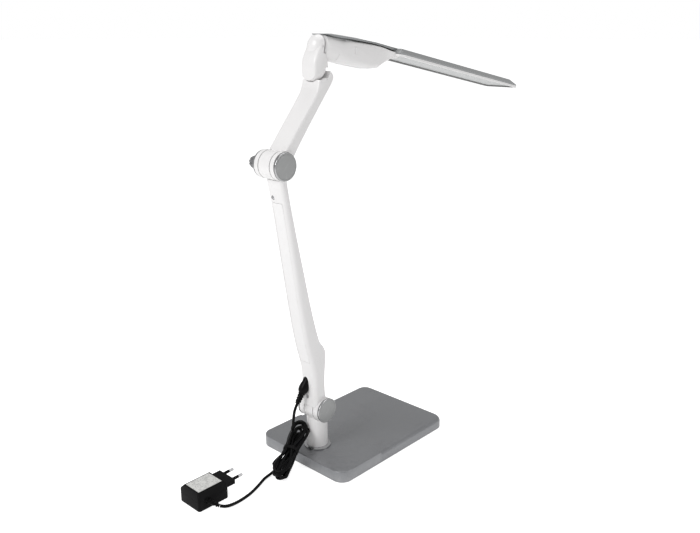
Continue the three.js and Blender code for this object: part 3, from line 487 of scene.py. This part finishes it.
def palette():
    """Every finish of the lamp, by name."""
    colours = bpy.context.scene.lamp_colours
    white, silver, disc = tuple(colours.white), tuple(colours.silver), tuple(colours.disc)
    base, diffuser, black = tuple(colours.base), tuple(colours.diffuser), tuple(colours.black)
    steel = (0.55, 0.55, 0.56)
    return {
        "white": finish_material(
            "White gloss plastic", white, 0.3, coat=0.25, grain=700, tone=0.008, bump=0.05,
        ),
        "silver": finish_material(
            "Silver lacquer", silver, 0.26, metallic=0.75, coat=0.2, grain=2600, tone=0.05, bump=0.12,
            edge=0.4,
        ),
        # The base's edges are lightened strongly: a painted highlight along its rims, with a little wear.
        "base": finish_material(
            "Metallic grey paint", base, 0.3, metallic=0.5, coat=0.3, grain=3400, tone=0.07, change=0.1,
            bump=0.12, edge=1.4, edge_color=(0.62, 0.62, 0.63), dust=0.05,
        ),
        "disc": finish_material(
            "Turned grey disc", disc, 0.36, metallic=0.45, grain=1500, tone=0.05, change=0.1, bump=0.2,
            stretch=(1, 0.2, 1), edge=0.5,
        ),
        "collar": finish_material(
            "Bright collar", (0.5, 0.5, 0.51), 0.16, metallic=0.9, grain=1600, tone=0.04,
        ),
        # Dark grey for painted shade on the inner face of the head's recess.
        "trim": finish_material("Dark trim", (0.2, 0.2, 0.2), 0.5, grain=1500, tone=0.06),
        "gap": finish_material("Shadow ring", (0.035, 0.035, 0.037), 0.6, grain=800, tone=0.1),
        "diffuser": finish_material("Milky diffuser", diffuser, 0.42, grain=500, tone=0.015, bump=0.06),
        "knob": finish_material("Grip grey", (0.16, 0.16, 0.165), 0.5, grain=2200, tone=0.08, bump=0.3),
        "black": finish_material(
            "Soft black sheath", black, 0.3, grain=1300, tone=0.12, change=0.12, bump=0.15, edge=0.1,
            edge_color=(0.02, 0.02, 0.02), dust=0.002, specular=0.09,
        ),
        "case": finish_material(
            "Textured black case", tuple(1.2 * c for c in black), 0.5, grain=3000, tone=0.15, change=0.1,
            bump=0.45, edge=0.15, edge_color=(0.03, 0.03, 0.03), dust=0.002, specular=0.07,
        ),
        "rubber": finish_material("Matt rubber", (0.02, 0.02, 0.021), 0.85, grain=1500, tone=0.1, bump=0.4),
        "steel": finish_material("Zinc steel", steel, 0.32, metallic=1.0, grain=1400, tone=0.06, bump=0.15),
        "iron": finish_material(
            "Cast weight", (0.2, 0.2, 0.2), 0.6, metallic=0.7, grain=500, tone=0.15, bump=0.5,
        ),
        "board": finish_material("Circuit board", (0.08, 0.26, 0.11), 0.5, coat=0.3, grain=600, tone=0.12),
        "label": label_material(),
    }


def label_material():
    """A pale printed label: plain thin grey rules on matt film."""
    name = "Ruled label"
    if name in bpy.data.materials:
        return bpy.data.materials[name]
    material = finish_material(name, (0.66, 0.66, 0.64), 0.55, grain=900, tone=0.03, bump=0.05, edge=0)
    t = Tree(material.node_tree)
    shader = material.node_tree.nodes["Principled BSDF"]
    plain = shader.inputs["Base Color"].links[0].from_socket
    place = t.node("ShaderNodeTexCoord")
    split = t.node("ShaderNodeSeparateXYZ")
    t.link(place.outputs["Object"], split.inputs[0])
    rows = t.math("PINGPONG", split.outputs["Y"], 0.00105)
    dark_row = t.math("LESS_THAN", rows, 0.00042)
    broken = t.node("ShaderNodeTexNoise")
    broken.inputs["Scale"].default_value = 420
    broken.inputs["Detail"].default_value = 0
    t.link(place.outputs["Object"], broken.inputs["Vector"])
    shown = t.math("MULTIPLY", t.math("SUBTRACT", broken.outputs[0], 0.42), 5, clamp=True)
    mask = t.math("MULTIPLY", t.math("MULTIPLY", dark_row, shown), 0.75)
    ink = t.node("ShaderNodeMix", data_type="RGBA")
    t.link(mask, ink.inputs["Factor"])
    t.link(plain, ink.inputs["A"])
    ink.inputs["B"].default_value = (0.2, 0.2, 0.2, 1)
    t.link(ink.outputs["Result"], shader.inputs["Base Color"])
    return material


# ---------------------------------------------------------------- lead
def hank_point(u, w, n):
    """A point in the hank's own plane: u up its length, w across it, n out of it."""
    along = (HANK_HIGH - HANK_LOW).normalized()
    across = Vector((-along.y, along.x, 0)).normalized()
    out = along.cross(across)
    return HANK_LOW + along * u + across * w + out * n


def hank_pass(start, waist, end, steps=9):
    """One run between two (u, w, n) ends, drawn in to the (w, n) waist where the tie holds it."""
    middle = (HANK_HIGH - HANK_LOW).length * 0.5
    points = []
    for i in range(steps + 1):
        share = i / steps
        u, w, n = (start[k] + (end[k] - start[k]) * share for k in range(3))
        pinch = math.exp(-(((u - middle) / 15) ** 2))
        points.append(hank_point(u, w + (waist[0] - w) * pinch, n + (waist[1] - n) * pinch))
    return points


def hank_turn(start, end, way, steps=7):
    """The half loop between two (u, w, n) ends, bulging `way` along the hank, without its ends."""
    points = []
    radius = abs(start[1] - end[1]) / 2
    for i in range(1, steps):
        angle = math.pi * i / steps
        blend = 0.5 - 0.5 * math.cos(angle)
        u = start[0] + (end[0] - start[0]) * i / steps + way * radius * math.sin(angle)
        w, n = (start[k] + (end[k] - start[k]) * blend for k in (1, 2))
        points.append(hank_point(u, w, n))
    return points


# The hank's turns in order, each as a run down and a run up. A run is (top, waist, bottom): the top
# and bottom as (u, w, n), the waist as (w, n).
HANK_TURNS = (
    (((53, 5.5, 8.8), (3.6, 7.0), (-2, 10.0, 5.6)), ((60, -9.5, 4.4), (-3.6, 6.4), (4, -9.0, 4.8))),
    (((65, 8.8, 4.4), (7.6, 2.8), (-10, 7.6, 4.2)), ((51, -14.4, 3.2), (-7.6, 2.6), (-4, -5.2, 4.1))),
    (((57, 4.6, 4.2), (0.0, 3.2), (-5, 2.4, 4.2)), ((62, -6.0, 0.4), (-3.8, 2.4), (-9, -9.8, 0.4))),
    (((65, 10.4, 0.1), (7.6, -1.6), (6, 15.4, 1.2)), ((55, -2.0, 0.2), (-0.2, -0.9), (5, 4.6, 0.5))),
    (((50, 2.6, 1.4), (2.0, 1.4), (-2, 6.4, 2.2)), ((54, -4.4, 2.2), (-5.6, 0.6), (-6, -1.6, 2.0))),
    (((60, 6.4, -0.6), (4.0, -1.6), (-13, 3.2, -0.4)), ((63, -10.6, -3.8), (-7.6, -1.9), (-3, -7.6, -3.6))),
    (((60, 7.6, -4.4), (3.8, -5.4), (-3, 8.6, -3.9)), ((54, -5.6, -4.4), (-4.0, -5.4), (-7, -3.8, -4.0))),
)


def lead_route():
    """The lead from below the hinge, through the hank's turns, to the adapter."""
    last_top = (56, 2.6, -8.2)
    tops = [*(down[0] for down, _ in HANK_TURNS[1:]), last_top]
    route = [LEAD_AT_HINGE, Vector((-113.9, 9.6, 51.6))]
    for (down, up), following in zip(HANK_TURNS, tops):
        top, waist, bottom = down
        up_top, up_waist, up_bottom = up
        route += hank_pass(top, waist, bottom)
        route += hank_turn(bottom, up_bottom, -1)
        route += hank_pass(up_bottom, up_waist, up_top)
        route += hank_turn(up_top, following, 1)
    route += hank_pass(last_top, (0, -5.2), (5, 5.0, -6.4))
    route += [
        Vector(p)
        for p in (
            (-151, 3.4, 7.2), (-156.5, 5.6, 3.8), (-163, 6.0, 2.3), (-171, 4.2, 2.1), (-186, -2.0, 2.1),
            (-204, -8.0, 2.1), (-222, -10.6, 2.1), (-236, -10.4, 2.6), (-244.6, -8.4, 3.7), (-249.6, -5, 5.2),
        )
    ]
    return smooth_line(route, 2.2)


class LAMP_OT_lead(bpy.types.Operator):
    """Lays the lead: the stretch at the plug, the hank with its tie, and the run to the adapter"""

    bl_idname = "lamp.lead"
    bl_label = "Lead"

    def execute(self, context):
        finishes = palette()
        radius = context.scene.lamp_sizes.lead_diameter / MM / 2
        upper_line = smooth_line(
            [(-105.1, 8, 85.6), (-107.9, 8.55, 80), (-110.1, 8.9, 74), (-111.3, 9, 67), (-112.1, 8.95, 61),
             LEAD_AT_HINGE], 2,
        )
        upper = tube("lead_upper", upper_line, radius, finishes["black"])
        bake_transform(upper)
        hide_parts("lead_top")
        main_line = lead_route()
        main = tube("lead_main", main_line, radius, finishes["black"], 10)
        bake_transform(main)
        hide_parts("lead_riser", "lead_hank", "lead_run")
        tie = self.tie(finishes["black"])
        return {"FINISHED"}

    def tie(self, material):
        """A band round the waist of the hank."""
        middle = (HANK_HIGH - HANK_LOW).length / 2
        rings = []
        for across, out in ((-2.4, 0.0), (-2.1, 0.55), (2.1, 0.55), (2.4, 0.0), (2.1, -0.3), (-2.1, -0.3)):
            ring = []
            for i in range(36):
                angle = 2 * math.pi * i / 36
                c, s = math.cos(angle), math.sin(angle)
                w = (9.9 + out) * math.copysign(abs(c) ** 0.75, c)
                n = 0.7 + (8.4 + out) * math.copysign(abs(s) ** 0.75, s)
                ring.append(hank_point(middle + across, w, n))
            rings.append(ring)
        band = loft("lead_tie_band", rings, material, 40, closed=True)
        return stand_for(band, "lead_tie")


# ---------------------------------------------------------------- plug
class LAMP_OT_plug(bpy.types.Operator):
    """Makes the low-voltage plug, its ribbed relief and the socket it sits in"""

    bl_idname = "lamp.plug"
    bl_label = "Lead plug"

    def execute(self, context):
        finishes = palette()
        way = (PLUG_TO - PLUG_FROM).normalized()
        reach = (PLUG_TO - PLUG_FROM).length
        body = [(2.6, -8.8), (2.6, 0.2), *arc_steps((4.0, 1.0), 0.8, -90, 0, 4), (5.0, 5), (5.9, 9.5),
                (6.9, 14), (7.2, 17.5), (7.0, 20.4), (6.3, 22.8), (5.2, 24.2), (2.5, 24.6)]
        plug = turned("dc_plug_skin", body, PLUG_FROM, way, finishes["black"])
        stand_for(plug, "dc_plug")
        ribbed = relief_profile(24.2, reach, 4.9, 3.7, 4)
        relief = turned("plug_strain_relief_skin", ribbed, PLUG_FROM, way, finishes["black"], sharp=50)
        stand_for(relief, "plug_strain_relief")
        dress("dc_socket", finishes["case"])
        return {"FINISHED"}


def relief_profile(start, end, from_radius, to_radius, ribs):
    """A tapering relief with soft rings round it."""
    profile = [(from_radius - 0.4, start), (from_radius, start + 0.4)]
    pitch = (end - start - 1) / ribs
    for i in range(ribs):
        first = start + 0.6 + pitch * i
        for share, depth in ((0.0, 0.0), (0.45, 0.0), (0.55, 0.75), (0.85, 0.8), (0.95, 0.1)):
            distance = first + pitch * share
            taper = from_radius + (to_radius - from_radius) * (distance - start) / (end - start)
            profile.append((taper - depth, distance))
    return [*profile, (to_radius, end - 0.3), (to_radius - 0.3, end)]


# ---------------------------------------------------------------- base
class LAMP_OT_base(bpy.types.Operator):
    """Makes the weighted base with its two kinds of rim, its pad, weight and bright collar"""

    bl_idname = "lamp.base"
    bl_label = "Base"

    def execute(self, context):
        finishes = palette()
        shell = self.shell(context.scene.lamp_sizes.base_edge / MM, finishes["base"])
        stand_for(shell, "base_shell")
        dress("base_pad", finishes["rubber"])
        dress("base_ballast", finishes["iron"])
        refined("post_collar", finishes["collar"])
        return {"FINISHED"}

    def shell(self, front_radius, material):
        half_x, half_y, corner = BASE["length"] / 2, BASE["width"] / 2, BASE["corner"]
        outline = rounded_rectangle(half_x, half_y, corner, 14)
        start, notch = RIM["start"], RIM["notch"]
        points = []
        for i, (point, out) in enumerate(outline):
            points.append((point, out))
            following = outline[(i + 1) % len(outline)][0]
            if abs(following.x - point.x) > corner:
                side = Vector((start, point.y)), Vector((start - notch, point.y))
                stops = [side[0] + Vector((0.3, 0)), side[0], side[1], side[1] - Vector((0.3, 0))]
                stops = stops if following.x < point.x else stops[::-1]
                points += [(stop, out) for stop in stops]
        steps = 8
        rings = [[(p.x - out.x * 0.5, p.y - out.y * 0.5, BASE["foot"]) for p, out in points]]
        rings.append([(p.x, p.y, BASE["foot"] + 0.5) for p, out in points])
        for step in range(steps + 1):
            angle = math.pi / 2 * step / steps
            ring = []
            for point, out in points:
                radius = front_radius if point.x > start + 0.1 else BASE["edge"]
                if start - notch - 0.1 < point.x < start + 0.1:
                    radius = RIM["notch_radius"]
                inset = radius * (1 - math.cos(angle))
                height = BASE["height"] - radius * (1 - math.sin(angle))
                ring.append((point.x - out.x * inset, point.y - out.y * inset, height))
            rings.append(ring)
        return loft("base_shell_skin", rings, material, 38)


# ---------------------------------------------------------------- arms
class LAMP_OT_arms(bpy.types.Operator):
    """Dresses the post, the two arms, their covers, washers and screws"""

    bl_idname = "lamp.arms"
    bl_label = "Post and arms"

    def execute(self, context):
        finishes = palette()
        for node in ("post", "lower_arm", "lower_arm_cover", "upper_arm", "upper_arm_cover"):
            refined(node, finishes["white"], 26)
        for node in ("cover_screw_top", "cover_screw_bottom", "swivel_nut", "hinge_bolt", "elbow_bolt"):
            refined(node, finishes["steel"])
        # The washers take the near-black shadow finish: painted shade in the narrow gaps between the parts.
        washers = ("swivel_washer", "hinge_washer_right", "hinge_washer_left", "elbow_washer_right",
                   "elbow_washer_left", "tilt_washer_right", "tilt_washer_left")
        for node in washers:
            refined(node, finishes["gap"])
        return {"FINISHED"}


class LAMP_OT_discs(bpy.types.Operator):
    """Makes the turned discs that close the hinge and the elbow, each over a near-black ring painted as the
    shade in the narrow gap
    """

    bl_idname = "lamp.discs"
    bl_label = "Hinge discs"

    def execute(self, context):
        finishes = palette()
        for name, middle, side, hole in (
            ("hinge_cap_right", HINGE, -1, 0), ("hinge_cap_left", HINGE, 1, 0),
            ("elbow_cap_right", ELBOW, -1, 0), ("elbow_ring_left", ELBOW, 1, 3.4),
        ):
            radius, height = CAP["radius"], CAP["height"]
            profile = [
                (max(hole, 0.05), 0), (radius - 1.5, 0), (radius - 1.5, 0.9), (radius - 0.3, 0.9),
                (radius, 1.2), (radius, height - 0.8),
                *arc_steps((radius - 0.8, height - 0.8), 0.8, 15, 90, 5),
                (radius - 1.7, height), (radius - 1.9, height - 0.22), (radius - 2.3, height - 0.22),
                (radius - 2.5, height - 0.02), (radius * 0.6, height + 0.18), (radius * 0.3, height + 0.28),
                (max(hole, 0.05), height + 0.3),
            ]
            origin = middle + Vector((0, side * CAP["stand"], 0))
            disc = turned(
                name + "_skin", profile, origin, (0, side, 0), finishes["disc"], 96, 32, closed=True,
            )
            stand_for(disc, name)
            # A near-black ring in the groove at the disc's foot: painted shade of the gap between disc and
            # arm.
            gap = [(radius - 1.6, 0.02), (radius - 0.7, 0.02), (radius - 0.7, 0.88), (radius - 1.6, 0.88)]
            edge = [(radius - 0.5, 1.0), (radius + 0.05, 1.15), (radius + 0.05, height - 0.7),
                    *arc_steps((radius - 0.75, height - 0.75), 0.8, 10, 80, 4), (radius - 0.9, height - 0.6)]
            for part, shape, finish in (("gap", gap, "gap"), ("edge", edge, "collar")):
                ring = turned(
                    f"{name}_{part}", shape, origin, (0, side, 0), finishes[finish], 96, 32, closed=True,
                )
                with_body(ring, name)
        return {"FINISHED"}


class LAMP_OT_knob(bpy.types.Operator):
    """Makes the fluted clamp knob on the left of the elbow"""

    bl_idname = "lamp.knob"
    bl_label = "Clamp knob"

    def execute(self, context):
        finishes = palette()
        flutes = context.scene.lamp_sizes.knob_flutes
        start = CAP["stand"] + CAP["height"] + 0.4

        def fluted(radius, distance, angle):
            if distance < 5.3 or radius < 5.5:
                return radius
            groove = max(0.0, math.cos(flutes * angle)) ** 2
            return radius - 1.3 * groove * min(1, (distance - 5.2) / 1.5)

        profile = [
            (3.35, 0), (5.3, 0), (5.6, 0.3), (5.6, 4.9), (6.2, 5.2), (8.8, 5.3), (9.2, 5.7), (9.25, 8),
            (8.7, 11), (8.0, 14.5), (7.0, 17.6), (6.7, 18.3), (6.1, 18.8), (5.2, 19), (3.0, 18.9),
            (0.05, 18.9),
        ]
        knob = turned(
            "elbow_knob_skin", profile, ELBOW + Vector((0, start, 0)), (0, 1, 0), finishes["knob"], 120, 40,
            radius_at=fluted,
        )
        stand_for(knob, "elbow_knob")
        return {"FINISHED"}


# ---------------------------------------------------------------- head
class LAMP_OT_head(bpy.types.Operator):
    """Dresses the yoke and the head: its body, silver cover, diffuser, boards and button"""

    bl_idname = "lamp.head"
    bl_label = "Yoke and head"

    def execute(self, context):
        finishes = palette()
        refined("tilt_yoke", finishes["white"], 30)
        for node in ("tilt_pin", "roll_spindle", "roll_nut"):
            refined(node, finishes["steel"])
        # The roll washer takes the near-black shadow finish: painted shade in the gap.
        refined("roll_washer", finishes["gap"])
        refined("head_housing", finishes["white"], 26)
        refined("head_cover", finishes["silver"], 20)
        self.diffuser(finishes)
        dress("led_board", finishes["board"])
        dress("driver_board", finishes["board"])
        dress("switch_body", finishes["case"])
        self.button(finishes["white"])
        return {"FINISHED"}

    def diffuser(self, finishes):
        """The milky plate, set back behind the rim, and a frame that lines its opening, dark grey as painted
        shade.
        """
        half_x, half_y = (HEAD["tip"] - HEAD["rear"]) / 2, HEAD["half_width"]
        middle = ((HEAD["tip"] + HEAD["rear"]) / 2, 0)
        inset, face = DIFFUSER["inset"], HEAD["rim"] + DIFFUSER["depth"]
        levels = [(0.3, face), (0, face + 0.15), (0, face + 0.25)]
        plate = slab_rings(half_x - inset, half_y - inset, HEAD["corner"] - inset, levels, 8, middle)
        stand_for(loft("head_diffuser_skin", plate, finishes["diffuser"], place=HEAD_PLACE), "head_diffuser")
        # The frame lining the opening is dark grey: painted shade on the inner face of the recess.
        inset, lip = DIFFUSER["frame_inset"], HEAD["rim"] - 0.05
        levels = [(0, lip), (0, face - 0.05), (0.25, face - 0.05), (0.25, lip)]
        frame_rings = slab_rings(half_x - inset, half_y - inset, HEAD["corner"] - inset, levels, 8, middle)
        trim = loft("diffuser_frame", frame_rings, finishes["trim"], closed=True, place=HEAD_PLACE)
        with_body(trim, "head_diffuser")

    def button(self, material):
        """The small upright pill button on the near side of the head body."""
        radius = BUTTON["radius"]
        rings = []
        for inset, y in ((0, -12.4), (0, -15.7), (0.15, -16.0), (0.5, -16.2)):
            ring = []
            for point, out in rounded_rectangle(radius, BUTTON["half_length"], radius - 0.001, 8):
                p = point - out * inset
                ring.append((BUTTON["x"] + p.x, y, BUTTON["z"] + p.y))
            rings.append(ring)
        button = loft("power_button_skin", rings, material, 35, place=HEAD_PLACE)
        stand_for(button, "power_button")


# ---------------------------------------------------------------- adapter
class LAMP_OT_adapter(bpy.types.Operator):
    """Makes the mains adapter: its two-part case, ruled label, nose, pins and ribbed gland"""

    bl_idname = "lamp.adapter"
    bl_label = "Mains adapter"

    def execute(self, context):
        finishes = palette()
        for node in ("adapter_base", "adapter_lid", "adapter_nose"):
            refined(node, finishes["case"], 30)
        dress("adapter_label", finishes["label"])
        for side in ("right", "left"):
            refined(f"adapter_pin_{side}", finishes["steel"])
            refined(f"adapter_pin_sleeve_{side}", finishes["case"])
        way = GLAND_TO - GLAND_FROM
        profile = [(3.4, -6), (3.4, -4.4), *relief_profile(-4.2, way.length, 3.4, 2.6, 5)]
        gland = turned("adapter_gland_skin", profile, GLAND_FROM, way, finishes["black"], sharp=50)
        stand_for(gland, "adapter_gland")
        dress("adapter_board", finishes["board"])
        dress("adapter_transformer", finishes["case"])
        return {"FINISHED"}


# ---------------------------------------------------------------- stage
class LAMP_OT_stage(bpy.types.Operator):
    """Sets the pale floor, the soft studio lights and the camera"""

    bl_idname = "lamp.stage"
    bl_label = "Stage"

    def execute(self, context):
        self.floor()
        self.lights(context.scene, context.scene.lamp_sizes.light_power)
        self.camera(context.scene)
        return {"FINISHED"}

    def floor(self):
        size = 60
        mesh = bpy.data.meshes.new("floor")
        corners = [(-size, -size, 0), (size, -size, 0), (size, size, 0), (-size, size, 0)]
        mesh.from_pydata(corners, [], [(0, 1, 2, 3)])
        pale = bpy.data.materials.new("Pale floor")
        pale.use_nodes = True
        shader = pale.node_tree.nodes["Principled BSDF"]
        shader.inputs["Base Color"].default_value = (0.86, 0.86, 0.86, 1)
        shader.inputs["Roughness"].default_value = 0.9
        shader.inputs["Specular IOR Level"].default_value = 0.1
        shader.inputs["Emission Color"].default_value = (1, 1, 1, 1)
        t = Tree(pale.node_tree)
        seen = t.node("ShaderNodeLightPath").outputs["Is Camera Ray"]
        glow = t.math("ADD", t.math("MULTIPLY", seen, FLOOR_GLOW["seen"]), FLOOR_GLOW["own"])
        t.link(glow, shader.inputs["Emission Strength"])
        new_object("floor", mesh, pale)

    def lights(self, scene, power):
        world = bpy.data.worlds.new("Soft sky")
        world.use_nodes = True
        t = Tree(world.node_tree)
        background = world.node_tree.nodes["Background"]
        seen = t.node("ShaderNodeLightPath").outputs["Is Camera Ray"]
        sky = SKY_STRENGTH * power
        strength = t.math("ADD", t.math("MULTIPLY", seen, 1 - sky), sky)
        t.link(strength, background.inputs["Strength"])
        background.inputs["Color"].default_value = (1, 1, 1, 1)
        scene.world = world
        for name, place, size, watts in (
            ("key", (-2.0, 0.3, 1.5), 1.2, 25),
            ("fill", (0.9, -2.2, 1.0), 1.4, 8),
            ("top", (0.5, 0.2, 2.4), 1.6, 18),
        ):
            light = bpy.data.lights.new(name, "AREA")
            light.size, light.energy = size, watts * power
            lamp = bpy.data.objects.new(name, light)
            lamp.location = place
            lamp.rotation_euler = (LIGHT_AIM - Vector(place)).to_track_quat("-Z", "Y").to_euler()
            scene.collection.objects.link(lamp)

    def camera(self, scene):
        heading, dip = CAMERA_TURN["heading"], CAMERA_TURN["dip"]
        level = Vector((math.cos(heading), math.sin(heading), 0))
        forward = level * math.cos(dip) - Vector((0, 0, math.sin(dip)))
        right = Vector((math.sin(heading), -math.cos(heading), 0))
        up = right.cross(forward)
        turn = Matrix((right, up, -forward)).transposed().to_4x4()
        data = bpy.data.cameras.new("camera")
        data.lens, data.sensor_width = CAMERA_LENS, CAMERA_SENSOR
        camera = bpy.data.objects.new("camera", data)
        camera.matrix_world = Matrix.Translation(CAMERA_PLACE * MM) @ turn
        scene.collection.objects.link(camera)
        scene.camera = camera
        scene.view_settings.view_transform = "Standard"


# ---------------------------------------------------------------- panel
STEPS = (
    LAMP_OT_base, LAMP_OT_arms, LAMP_OT_discs, LAMP_OT_knob, LAMP_OT_head, LAMP_OT_plug, LAMP_OT_adapter,
    LAMP_OT_lead, LAMP_OT_stage,
)


class LAMP_PT_panel(bpy.types.Panel):
    """The lamp's pieces and their settings"""

    bl_idname = "LAMP_PT_panel"
    bl_label = "Desk Lamp"
    bl_space_type = "VIEW_3D"
    bl_region_type = "UI"
    bl_category = "Desk Lamp"

    def draw(self, context):
        for settings in (context.scene.lamp_colours, context.scene.lamp_sizes):
            column = self.layout.column(align=True)
            for name in settings.__annotations__:
                column.prop(settings, name)
        column = self.layout.column(align=True)
        for step in STEPS:
            column.operator(step.bl_idname)


CLASSES = (LampColours, LampSizes, *STEPS, LAMP_PT_panel)


def register():
    for cls in CLASSES:
        bpy.utils.register_class(cls)
    bpy.types.Scene.lamp_colours = PointerProperty(type=LampColours)
    bpy.types.Scene.lamp_sizes = PointerProperty(type=LampSizes)


def unregister():
    del bpy.types.Scene.lamp_sizes
    del bpy.types.Scene.lamp_colours
    for cls in reversed(CLASSES):
        bpy.utils.unregister_class(cls)


def main():
    register()
    bpy.ops.lamp.base()
    bpy.ops.lamp.arms()
    bpy.ops.lamp.discs()
    bpy.ops.lamp.knob()
    bpy.ops.lamp.head()
    bpy.ops.lamp.plug()
    bpy.ops.lamp.adapter()
    bpy.ops.lamp.lead()
    bpy.ops.lamp.stage()
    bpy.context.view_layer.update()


if __name__ == "__main__":
    main()
